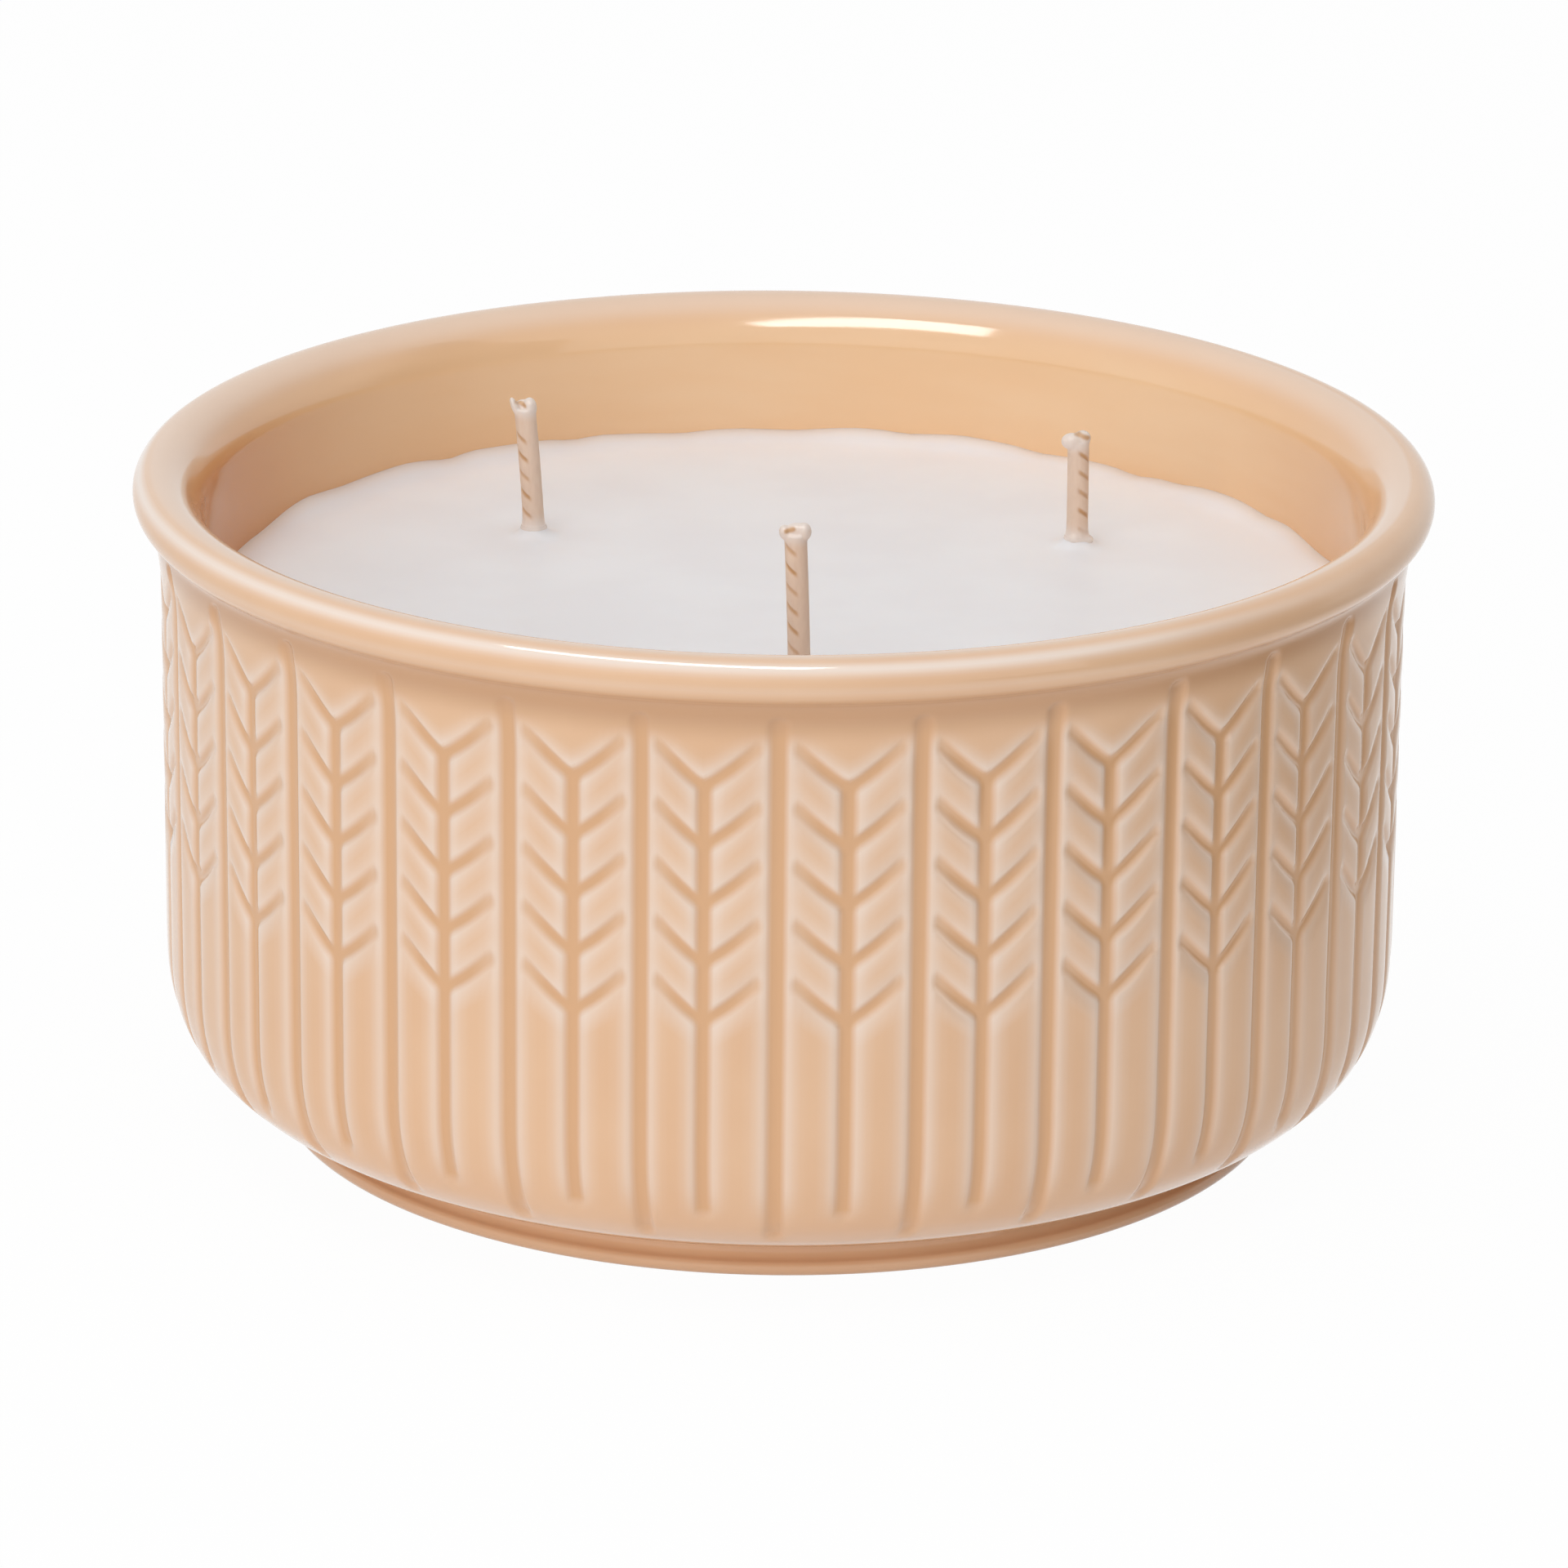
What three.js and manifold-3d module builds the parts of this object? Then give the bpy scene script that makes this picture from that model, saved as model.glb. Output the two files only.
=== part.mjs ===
// A three-wick candle, poured into a glazed ceramic bowl with a pressed wheat-ear relief.
// Millimetres, +Z up. The origin is the middle of the face that the bowl stands on,
// and the candle is seen from -Y, with +X to the right.
import * as THREE from "three";
import { mergeVertices } from "three/addons/utils/BufferGeometryUtils.js";
import Module from "manifold-3d";

const wasm = await Module();
wasm.setup();

// Bowl, outside
const bowlHeight = 72;
const rimRadius = 70;
const lipOverhang = 2.9;
const lipHeight = 4.9;
const neckHeight = 8;
const neckFlare = 0.9;
const bodyCurveHeight = 20.6;
const bodyCurveFullness = new THREE.Vector2(0.92, 0.74);
const evenCurve = new THREE.Vector2(1, 1);

// Foot ring and the recess inside it
const footRadius = 55.4;
const footRingWidth = 5.2;
const footEdgeRound = 0.8;
const coveDepth = 2.6;
const coveHeight = 3.9;
const recessDepth = 2.8;

// Bowl, inside
const wallThickness = 4.5;
const baseThickness = 5.2;
const throatHeight = 7;
const innerCurveWidth = 14;
const innerCurveHeight = 13.5;

// Wheat-ear relief: upright lines between panels, and in each panel a stem with pairs of barbs
const panelCount = 30;
const lineWidth = 2;
const strokeWidth = 1.6;
const reliefDepth = 0.8;
const reliefSlope = 0.5;
const lineTopDrop = 1.6;
const lineEndHeight = 7.8;
const stemEndHeight = 10.8;
const earTopDrop = 9.2;
const barbPairs = 5;
const barbPitch = 6.3;
const barbRise = 4;
const barbMargin = 1.3;

// Wax
const waxDrop = 16;
const meniscusRadius = 3.6;
const meniscusHeight = 0.9;

// Wicks
const wickDiameter = 2.4;
const wickTipFlare = 0.45;
const wickTipLength = 2.2;
const wickNotchDepth = 0.9;
const wickNotchWidth = 1.9;

// How far each wick stands from the middle and in which direction, in degrees from +X
const leftWickReach = 36.7;
const leftWickAngle = 139.2;
const rightWickReach = 39.4;
const rightWickAngle = 34.1;
const frontWickReach = 26.1;
const frontWickAngle = -86;

// How high each wick stands over the wax, and how far its tip is off to the left
const leftWickHeight = 15.6;
const leftWickOffset = 1.1;
const rightWickHeight = 13;
const rightWickOffset = 0.1;
const frontWickHeight = 17;
const frontWickOffset = 0.6;

// Wick sustainers and the foam stickers that hold them to the floor
const plateRadius = 8;
const plateThickness = 0.5;
const collarHeight = 5;
const collarWall = 0.5;
const collarFlare = 2.2;
const stickerRadius = 6;
const stickerThickness = 0.9;

// Clearances
const seatGap = 0.3;

// Facets
const smallFacets = 16;
const wickSides = 8;
const curveSteps = 6;
const lipSteps = 5;

// Sizes that follow from the ones above
const wallRadius = rimRadius - lipOverhang;
const lipRadius = lipHeight / 2;
const lipCentre = new THREE.Vector2(rimRadius - lipRadius, bowlHeight - lipRadius);
const neckTop = bowlHeight - lipHeight;
const coveRadius = footRadius - coveDepth;
const curveFoot = new THREE.Vector2(coveRadius, coveHeight);
const curveHead = new THREE.Vector2(wallRadius, bodyCurveHeight);
const innerRadius = wallRadius - wallThickness;
const floorHeight = recessDepth + baseThickness;
const waxHeight = bowlHeight - waxDrop;
const wickRadius = wickDiameter / 2;
const collarInner = wickRadius + seatGap;
const collarOuter = collarInner + collarWall;
const stickerBottom = floorHeight + seatGap;
const plateBottom = stickerBottom + stickerThickness + seatGap;
const collarTop = plateBottom + plateThickness + collarHeight;

const wicks = [
  wickPlace("left", leftWickReach, leftWickAngle, leftWickHeight, leftWickOffset),
  wickPlace("right", rightWickReach, rightWickAngle, rightWickHeight, rightWickOffset),
  wickPlace("front", frontWickReach, frontWickAngle, frontWickHeight, frontWickOffset),
];

const panelAngle = (2 * Math.PI) / panelCount;
const panelWidth = panelAngle * wallRadius;
const bowlFacets = 2 * panelCount;
const lineTop = neckTop - lineTopDrop;
const earTop = neckTop - earTopDrop;

const materials = {
  glaze: { color: 0xe2c3a5, roughness: 0.18, metalness: 0 },
  wax: { color: 0xe6e0dc, roughness: 0.55, metalness: 0 },
  cotton: { color: 0xd3bba2, roughness: 0.8, metalness: 0 },
  tinplate: { color: 0xb9babd, roughness: 0.3, metalness: 1 },
  foam: { color: 0xeceae4, roughness: 0.9, metalness: 0 },
};

const v2 = (x, y) => new THREE.Vector2(x, y);

function wickPlace(name, reach, degrees, height, offset) {
  const angle = THREE.MathUtils.degToRad(degrees);
  return { name, x: reach * Math.cos(angle), y: reach * Math.sin(angle), height, offset };
}

// A closed solid from any three.js geometry, turned the right way out.
function solid(geometry) {
  const bare = geometry.clone();
  bare.deleteAttribute("normal");
  bare.deleteAttribute("uv");
  const merged = mergeVertices(bare);
  const position = merged.attributes.position.array;
  const corners = [];
  let volume = 0;
  for (let i = 0; i < merged.index.count; i += 3) {
    const [a, b, c] = [0, 1, 2].map((k) => merged.index.getX(i + k));
    if (a === b || b === c || a === c) continue;
    corners.push(a, b, c);
    const [p, q, r] = [a, b, c].map((k) => new THREE.Vector3().fromArray(position, 3 * k));
    volume += p.dot(q.cross(r));
  }
  if (volume < 0) corners.reverse();
  return new wasm.Manifold(new wasm.Mesh({
    numProp: 3,
    vertProperties: new Float32Array(position),
    triVerts: new Uint32Array(corners),
  }));
}

// The finished geometry of a solid, with flat faces.
function faceted(manifold) {
  const { vertProperties, triVerts } = manifold.getMesh();
  const geometry = new THREE.BufferGeometry();
  geometry.setAttribute("position", new THREE.BufferAttribute(vertProperties.slice(), 3));
  geometry.setIndex(new THREE.BufferAttribute(triVerts.slice(), 1));
  const flat = geometry.toNonIndexed();
  flat.computeVertexNormals();
  return flat;
}

// A solid of revolution about +Z from points of radius and height.
function revolve(points, facets) {
  return new THREE.LatheGeometry(points, facets).rotateX(Math.PI / 2);
}

// A point of a full quarter curve that leaves "from" level at 0 degrees and meets "to" upright at 90.
function quarterPoint(from, to, fullness, degrees) {
  const angle = THREE.MathUtils.degToRad(degrees);
  const across = Math.sin(angle) ** fullness.x;
  const up = 1 - Math.max(Math.cos(angle), 0) ** fullness.y;
  return v2(from.x + (to.x - from.x) * across, from.y + (to.y - from.y) * up);
}

function quarterCurve(from, to, fullness, steps) {
  return Array.from({ length: steps + 1 }, (_, i) => quarterPoint(from, to, fullness, (i / steps) * 90));
}

// The line of an outside or inside surface moved sideways, away from its own left.
function offsetLine(points, distance) {
  return points.map((point, i) => {
    const before = points[Math.max(i - 1, 0)];
    const after = points[Math.min(i + 1, points.length - 1)];
    const along = after.clone().sub(before).normalize();
    return v2(point.x + along.y * distance, point.y - along.x * distance);
  });
}

// The point of the wall's outside at a height above the lower curve; the neck flares to the lip.
function wallPoint(height) {
  const share = Math.max(1 - (neckTop - height) / neckHeight, 0);
  return v2(wallRadius + neckFlare * share ** 2, height);
}

// The point of the body's outside at a height, on the lower curve or on the wall.
function bodyPoint(height) {
  if (height >= curveHead.y) return wallPoint(height);
  const up = (height - curveFoot.y) / (curveHead.y - curveFoot.y);
  const angle = Math.acos((1 - up) ** (1 / bodyCurveFullness.y));
  return quarterPoint(curveFoot, curveHead, bodyCurveFullness, THREE.MathUtils.radToDeg(angle));
}

// The same point sunk into the body, square to its surface.
function sunkPoint(height, depth) {
  const step = 0.05;
  const along = bodyPoint(height + step).sub(bodyPoint(height - step)).normalize();
  return bodyPoint(height).sub(v2(along.y, -along.x).multiplyScalar(depth));
}

// Foot ring: the recess inside it, its flat face, its rounded edge and the cove above it.
function footLine() {
  const ringInner = footRadius - footRingWidth;
  const edge = footRadius - footEdgeRound;
  const underside = [
    v2(0, recessDepth),
    v2(ringInner - recessDepth / 2, recessDepth),
    v2(ringInner, recessDepth / 2),
    v2(ringInner + footEdgeRound / 2, 0),
  ];
  const lowerEdge = quarterCurve(v2(edge, 0), v2(footRadius, footEdgeRound), evenCurve, 2);
  const upperEdge = v2(edge + footEdgeRound / 2, footEdgeRound * (1 + Math.sqrt(3) / 2));
  const cove = quarterCurve(v2(edge, 2 * footEdgeRound), curveFoot, evenCurve, 3);
  return [...underside, ...lowerEdge, upperEdge, ...cove.slice(0, -1)];
}

// Rolled lip: round outside, from the end of the neck to the top.
function lipLine() {
  const start = -Math.PI / 3;
  return Array.from({ length: lipSteps }, (_, i) => {
    const angle = start + (i / lipSteps) * (Math.PI / 2 - start);
    return v2(lipCentre.x + lipRadius * Math.cos(angle), lipCentre.y + lipRadius * Math.sin(angle));
  });
}

// Inside of the bowl: from the top of the lip through the flared throat to the edge of the flat floor.
function innerLine() {
  const floorCorner = v2(innerRadius - innerCurveWidth, floorHeight);
  const curve = quarterCurve(floorCorner, v2(innerRadius, floorHeight + innerCurveHeight),
    bodyCurveFullness, curveSteps - 2);
  const throat = quarterCurve(v2(lipCentre.x, bowlHeight), v2(innerRadius, bowlHeight - throatHeight),
    evenCurve, curveSteps);
  return [...throat, ...curve.reverse()];
}

// A mesh that is put together from rows of points, where each point has a key that rises along its row.
class Skin {
  position = [];
  faces = [];

  point(angle, place, key) {
    this.position.push(place.x * Math.cos(angle), place.x * Math.sin(angle), place.y);
    return { index: this.position.length / 3 - 1, key };
  }

  // Joins two neighbouring rows, and leaves out faces where they share a point.
  join(row, next) {
    let i = 0;
    let j = 0;
    while (i < row.length - 1 || j < next.length - 1) {
      const rowKey = i < row.length - 1 ? row[i + 1].key : Infinity;
      const nextKey = j < next.length - 1 ? next[j + 1].key : Infinity;
      const last = rowKey <= nextKey ? row[i + 1].index : next[j + 1].index;
      const corners = [row[i].index, last, next[j].index];
      if (new Set(corners).size === 3) this.faces.push(...corners);
      if (rowKey <= nextKey) i++;
      else j++;
    }
  }

  geometry() {
    const geometry = new THREE.BufferGeometry();
    geometry.setAttribute("position", new THREE.Float32BufferAttribute(this.position, 3));
    return geometry.setIndex(this.faces);
  }
}

// One panel of the relief as columns of points, from the upright line at its left to its right side.
// A column runs from the foot of the lines to their top, and a point's key is its height at the stem.
function panelColumns(skin, left) {
  const middle = panelWidth / 2;
  const at = (across, height, depth = 0, key = height) =>
    skin.point(left + across / wallRadius, sunkPoint(height, depth), key);

  const reach = middle - lineWidth / 2 - barbMargin;
  const halfStroke = (strokeWidth / 2) * Math.hypot(1, barbRise / reach);
  const barbHeights = Array.from({ length: barbPairs }, (_, i) => earTop - (barbPairs - 1 - i) * barbPitch);
  const curveHeights = quarterCurve(curveFoot, curveHead, bodyCurveFullness, curveSteps)
    .map((point) => point.y)
    .filter((height) => height > stemEndHeight + reliefDepth && height < barbHeights[0] - 2 * halfStroke);

  const lineHeights = [...curveHeights, ...barbHeights.map((height) => height + barbRise / 2)];
  const lineEdge = (side) => [lineEndHeight, ...lineHeights, lineTop]
    .map((height) => at(side * lineWidth / 2, height));
  const lineFloor = (side) => {
    const across = side * (lineWidth / 2 - reliefSlope);
    const heights = [lineEndHeight + reliefDepth, ...curveHeights, barbHeights.at(-1), lineTop - reliefDepth];
    return [at(across, lineEndHeight), ...heights.map((height) => at(across, height, reliefDepth)),
      at(across, lineTop)];
  };

  const stemEdge = strokeWidth / 2;
  const stemFloor = strokeWidth / 2 - reliefSlope;
  const foot = at(middle, lineEndHeight);
  const apex = at(middle, earTop + halfStroke);
  const head = at(middle, lineTop);

  const ear = (side) => {
    const onStem = (fromStem, height, depth) => at(middle + side * fromStem, height, depth);
    const onBarb = (fromStem, key, depth) =>
      at(middle + side * fromStem, key + (barbRise * fromStem) / reach, depth, key);
    const edge = [foot, ...[stemEndHeight, ...curveHeights].map((height) => onStem(stemEdge, height))];
    const sunkHeights = [stemEndHeight + reliefDepth, ...curveHeights];
    const floor = [foot, onStem(stemFloor, stemEndHeight),
      ...sunkHeights.map((height) => onStem(stemFloor, height, reliefDepth))];
    const tips = [...edge];
    for (const height of barbHeights) {
      const valley = onBarb(stemFloor, height, reliefDepth);
      const upper = height === earTop ? apex : onBarb(stemEdge, height + halfStroke);
      edge.push(onBarb(stemEdge, height - halfStroke), valley, upper);
      tips.push(...[-halfStroke, 0, halfStroke].map((off) => onBarb(reach, height + off)));
      floor.push(valley);
    }
    return [[...tips, head], [...edge, head], [...floor, apex, head]];
  };

  return [lineEdge(-1), lineFloor(-1), lineFloor(1), lineEdge(1), ...ear(-1), ...ear(1).reverse()];
}

// The bowl is one closed skin: level rings below and above the relief, and the panels between them.
function bowl() {
  const skin = new Skin();
  const start = -Math.PI / 2;
  const close = (row) => [...row, { index: row[0].index, key: row[0].key + 2 * Math.PI }];
  const ring = (place) => {
    if (place.x === 0) return [skin.point(0, place, 0)];
    const turns = Array.from({ length: bowlFacets }, (_, i) => start + (i / bowlFacets) * 2 * Math.PI);
    return close(turns.map((turn) => skin.point(turn, place, turn)));
  };

  const columns = [];
  for (let panel = 0; panel < panelCount; panel++) {
    columns.push(...panelColumns(skin, start + panel * panelAngle));
  }
  columns.forEach((column, i) => skin.join(columns[(i + 1) % columns.length], column));

  const edgeRing = (end) => {
    const row = [];
    for (const column of columns) {
      const { index } = column.at(end);
      if (row.at(-1)?.index === index) continue;
      const turn = Math.atan2(skin.position[3 * index + 1], skin.position[3 * index]);
      row.push({ index, key: turn < start - panelAngle / 2 ? turn + 2 * Math.PI : turn });
    }
    return close(row);
  };

  const lowerCurve = quarterCurve(curveFoot, curveHead, bodyCurveFullness, curveSteps)
    .filter((point) => point.y < lineEndHeight - reliefDepth);
  const below = [...footLine(), ...lowerCurve].map(ring);
  const above = [wallPoint(neckTop), ...lipLine(), ...innerLine(), v2(0, floorHeight)].map(ring);
  const rows = [...below, edgeRing(0), null, edgeRing(-1), ...above];
  rows.forEach((row, i) => {
    const next = rows[i + 1];
    if (row && next) skin.join(row, next);
  });
  return solid(skin.geometry());
}

// The hollow that a wick with its sustainer and sticker leaves in the wax, open at both ends.
function wickHollow() {
  const plateClear = plateBottom + plateThickness + seatGap;
  return revolve([
    v2(0, floorHeight - seatGap),
    v2(plateRadius + seatGap, floorHeight - seatGap),
    v2(plateRadius + seatGap, plateClear),
    v2(collarOuter + collarFlare + seatGap, plateClear),
    v2(collarOuter + seatGap, plateClear + collarFlare),
    v2(collarOuter + seatGap, collarTop + seatGap),
    v2(wickRadius + seatGap, collarTop + seatGap),
    v2(wickRadius + seatGap, bowlHeight),
    v2(0, bowlHeight),
  ], smallFacets);
}

// The poured wax, with the small rise where it climbs each wick.
function waxFill() {
  const inner = innerLine().reverse();
  const side = offsetLine(inner, -seatGap).filter((point) => point.y < waxHeight);
  const bottom = floorHeight + seatGap;
  const profile = [
    v2(0, bottom),
    v2(innerRadius - innerCurveWidth - seatGap, bottom),
    ...side.slice(1),
    v2(innerRadius - seatGap, waxHeight),
    v2(0, waxHeight),
  ];
  const top = waxHeight + meniscusHeight;
  const climb = quarterCurve(v2(meniscusRadius, waxHeight), v2(wickRadius + seatGap, top), evenCurve, 3);
  const rise = revolve([
    v2(0, waxHeight - meniscusHeight),
    v2(meniscusRadius, waxHeight - meniscusHeight),
    ...climb,
    v2(0, top),
  ], smallFacets);
  const hollow = wickHollow();
  let wax = solid(revolve(profile, bowlFacets));
  for (const { x, y } of wicks) {
    wax = wax.add(solid(rise.clone().translate(x, y, 0)));
    wax = wax.subtract(solid(hollow.clone().translate(x, y, 0)));
  }
  return wax;
}

// One braided wick: upright through the wax, then leaning, with its tip pinched open and notched.
function wick({ height, offset }) {
  const tip = waxHeight + height;
  const rings = [
    { z: plateBottom, bent: 0, wide: 1, deep: 1 },
    { z: waxHeight + meniscusHeight, bent: 0, wide: 1, deep: 1 },
    { z: (waxHeight + tip) / 2, bent: 0.35, wide: 1, deep: 1 },
    { z: tip - wickTipLength, bent: 0.85, wide: 1, deep: 1 },
    { z: tip - wickTipLength / 3, bent: 0.96, wide: 1 + wickTipFlare / 2, deep: 0.95 },
    { z: tip, bent: 1, wide: 1 + wickTipFlare, deep: 0.8 },
  ];
  const position = [];
  for (const ring of rings) {
    for (let i = 0; i < wickSides; i++) {
      const angle = (2 * Math.PI * (i + 0.5)) / wickSides;
      position.push(wickRadius * ring.wide * Math.cos(angle) - offset * ring.bent,
        wickRadius * ring.deep * Math.sin(angle), ring.z);
    }
  }
  const last = rings.length - 1;
  position.push(0, 0, plateBottom, -offset, 0, tip);
  const index = [];
  for (let i = 0; i < wickSides; i++) {
    const next = (i + 1) % wickSides;
    for (let ring = 0; ring < last; ring++) {
      const low = ring * wickSides;
      const high = low + wickSides;
      index.push(low + i, low + next, high + next, low + i, high + next, high + i);
    }
    const top = last * wickSides;
    index.push(next, i, (last + 1) * wickSides);
    index.push(top + i, top + next, (last + 1) * wickSides + 1);
  }
  const geometry = new THREE.BufferGeometry();
  geometry.setAttribute("position", new THREE.Float32BufferAttribute(position, 3));
  geometry.setIndex(index);
  const notch = new THREE.ConeGeometry(wickNotchWidth / 2, wickNotchDepth * 2, 4, 1);
  const notchLength = 3;
  notch.rotateX(-Math.PI / 2).scale(1, notchLength, 1).translate(-offset, 0, tip);
  return solid(geometry).subtract(solid(notch));
}

// One stamped sustainer: a round plate drawn up into the collar that grips the wick.
function sustainer() {
  const plateTop = plateBottom + plateThickness;
  const flare = quarterCurve(v2(collarOuter + collarFlare, plateTop),
    v2(collarOuter, plateTop + collarFlare), evenCurve, 3);
  return solid(revolve([
    v2(collarInner, plateBottom),
    v2(plateRadius, plateBottom),
    v2(plateRadius, plateTop),
    ...flare,
    v2(collarOuter, collarTop),
    v2(collarInner, collarTop),
    v2(collarInner, plateBottom),
  ], smallFacets));
}

function sticker() {
  const disc = new THREE.CylinderGeometry(stickerRadius, stickerRadius, stickerThickness, smallFacets);
  return solid(disc.rotateX(Math.PI / 2).translate(0, 0, stickerBottom + stickerThickness / 2));
}

const candle = new THREE.Group();

function add(name, manifold, material, x = 0, y = 0) {
  const mesh = new THREE.Mesh(faceted(manifold), new THREE.MeshStandardMaterial(materials[material]));
  mesh.name = name;
  mesh.position.set(x, y, 0);
  candle.add(mesh);
}

add("bowl", bowl(), "glaze");
add("wax_fill", waxFill(), "wax");
for (const place of wicks) {
  add(`wick_${place.name}`, wick(place), "cotton", place.x, place.y);
  add(`wick_sustainer_${place.name}`, sustainer(), "tinplate", place.x, place.y);
  add(`wick_sticker_${place.name}`, sticker(), "foam", place.x, place.y);
}

export default candle;
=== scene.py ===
import math

import bpy
import numpy as np
from mathutils import Matrix, Vector


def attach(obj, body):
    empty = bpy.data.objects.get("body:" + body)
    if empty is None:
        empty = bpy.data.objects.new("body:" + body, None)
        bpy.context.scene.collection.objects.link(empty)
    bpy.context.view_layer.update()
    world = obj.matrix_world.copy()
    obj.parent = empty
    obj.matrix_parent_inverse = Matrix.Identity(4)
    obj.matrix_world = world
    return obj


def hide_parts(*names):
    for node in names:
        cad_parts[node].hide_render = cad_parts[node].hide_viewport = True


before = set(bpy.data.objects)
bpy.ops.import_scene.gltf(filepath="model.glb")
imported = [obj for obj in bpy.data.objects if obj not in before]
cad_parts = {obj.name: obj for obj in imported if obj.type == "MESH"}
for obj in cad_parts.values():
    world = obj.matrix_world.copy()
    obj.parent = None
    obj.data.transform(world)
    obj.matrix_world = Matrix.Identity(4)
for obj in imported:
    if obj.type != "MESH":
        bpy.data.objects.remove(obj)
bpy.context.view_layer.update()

MM = 0.001
TURN = 2 * math.pi
MERGE = 0.002
AROUND = 240

# Bowl outside, in millimetres like every size here
BOWL_HEIGHT = 72
WALL_RADIUS = 67.1
NECK_TOP = 67.1
NECK_HEIGHT = 8
NECK_FLARE = 0.9
NECK = ((67.94, 66.5), (68.07, 66.77), (68.25, 67.0), (68.48, 67.2),
        (68.75, 67.38), (69.03, 67.56), (69.25, 67.76))
CURVE_FOOT = (52.8, 3.9)
CURVE_HEAD = (67.1, 20.6)
CURVE_FULLNESS = (0.92, 0.74)
LIP_RADIUS = 2.45
LIP_CENTRE = (67.55, 69.55)

# Bowl inside; each bend of the throat has a radius, a first and last slope in degrees, and steps
INNER_RADIUS = 62.6
THROAT = ((4.2, (90, 50), 6), (4.2, (50, 33.4), 5), (38.4, (33.4, 31.4), 3), (4.9, (31.4, 0), 6))
INNER_ROWS = (60, 57, 54, 38)
INNER_CURVE = (14, 13.5)
FLOOR_HEIGHT = 8
FLOOR_LOOP = 24

# Foot ring, the cove over it and the recess inside it, whose edge is given from the ring's inner side
FOOT_RADIUS = 55.4
FOOT_EDGE = 0.8
COVE = ((53.6, 3.95), (53.75, 3.6), (53.7, 3.1), (53.75, 2.6), (53.9, 2.15), (54.15, 1.8))
RING_INNER = 50.2
RECESS_DEPTH = 2.8
RECESS_EDGE = ((0.9, 0), (0.35, 0.25), (0, 0.8), (-0.3, 1.6), (-0.9, 2.3), (-1.9, 2.7), (-3.4, RECESS_DEPTH))
RECESS_LOOP = 25

# Wheat-ear relief; the barbs leave the stem at the heights of BARB_FEET
PANELS = 30
PANEL_WIDTH = TURN * WALL_RADIUS / PANELS
FIRST_LINE = -math.pi / 2
BAND = (6.89, 66.2)
LINE_ENDS = (7.8, 65.5)
LINE_HALF = 0.92
STEM_ENDS = (10.9, 57.9)
STEM_HALF = 0.84
BARB_FEET = (32.7, 39.0, 45.3, 51.6, 57.9)
BARB_REACH = 4.9
BARB_HALF = 0.66
BARB_SLOPE = 0.62
BARB_BEND = 0.0446
BARB_FADE = 0.35
BARB_FADE_FROM = 2.6
GROOVE_EDGE = (-0.5, 0.4)
GROOVE_DEPTH = 0.42
LAND_RISE = 0.1

# The relief fades over these lengths above the band's foot and these heights below its top, and the band
# is joined to the lip and to the foot between the heights of SEAMS
FADE_LOW = (1.2, 3.2)
FADE_HIGH = (64.2, 66.1)
SEAMS = ((66.1, 66.6), (6.2, 7.1))

# How far each line and stem stands from its even place, in degrees: one by one in front, from -78 to 78
# about -Y, and the same everywhere else
HAND_ANGLES = range(-78, 79, 6)
HAND_SET = (-1.3, -1.5, -1.5, -0.75, -1.3, -0.75, -1.1, -0.53, -0.82, -0.2, -0.25, -0.05, -0.62, -0.17,
            -0.13, 0.25, 0.0, 0.28, -0.1, 0.6, 0.18, 0.15, -0.07, 0.5, 0.5, 0.7, 0.6)
EVEN_SET = -0.4

# How pale the glaze lies, from 0 to 1, where it thins over edges and as a painted sheen on the lip and
# throat, and the share of that which is lost at the right, as painted shade; the arcs are angles round the
# section of the lip, in degrees
HALO = 0.58
HALO_REACH = 1.15
HALO_LOW = (9, 15)
HALO_HIGH = (61, 64.5)
PANEL_END_THIN = 0.25
LIP_FRONT_THIN_AND_SHEEN = 0.98
LIP_TOP_THIN_AND_SHEEN = 0.42
LIP_SIDE_THIN_AND_SHEEN = 0.2
THROAT_THIN_AND_SHEEN = 0.42
LIP_FRONT_ARC = (44, 17)
LIP_TOP_ARC = (62, 88)
LIP_SIDE_ARC = (-12, 12)
RIGHT_LIP_LOSS = 0.9
RIGHT_WALL_LOSS = 0.45

# How much the glaze pools under the lip and in the cove, a darkening that is partly painted shade
LIP_POOL_AND_SHADE = 0.6
LIP_POOL_AND_SHADE_ARC = (-56, -22)
NECK_POOL_AND_SHADE = (62.4, 65.8)
COVE_POOL_AND_SHADE = 0.1

# Wax
WAX_HEIGHT = 56
WAX_RADIUS = 62.62
WAX_GAP = 0.05
MENISCUS_HEIGHT = 1.3
MENISCUS_REACH = 0.75
DISH_DEPTH = 0.3
DISH_REACH = 6
WALL_RISE_FROM = 58.2
FINE_ROUND_WICK = 5.5
# A warm, pale tint at the wax's edge by the wall: partly the glaze seen through the thinner wax, partly
# painted light that lifts the shade there
RIM_TINT = (60.2, 62.4)

# Wicks
WICK_RADIUS = 1.2
WICK_FOOT = 9.8
HEAD_DROP = 1.15
SKIN_GRAIN = 0.13
SLIT_PITCH = 2.18
SLIT_SLANT = 0.0062
SLIT_DEPTH = 0.16
SLIT_SIDES = (24, 52)
SLIT_LIPS = (0.04, 0.2)
BRAID_SWELL = 0.06
BRAID_SIDES = (28, 46)
BRAID_BARE = (0.9, 1.9)
FOOT_SPREAD = 0.3
CORE_EDGE = (0.1, 0.36)
WAXED_FOOT = (0.6, 2.8)
WAXED_HEAD = (-2.6, -1.2)


def tone(red, green, blue):
    """A colour from its 0 to 255 values, as light."""
    shares = [value / 255 for value in (red, green, blue)]
    return (*[s / 12.92 if s <= 0.04045 else ((s + 0.055) / 1.055) ** 2.4 for s in shares], 1)


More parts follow.
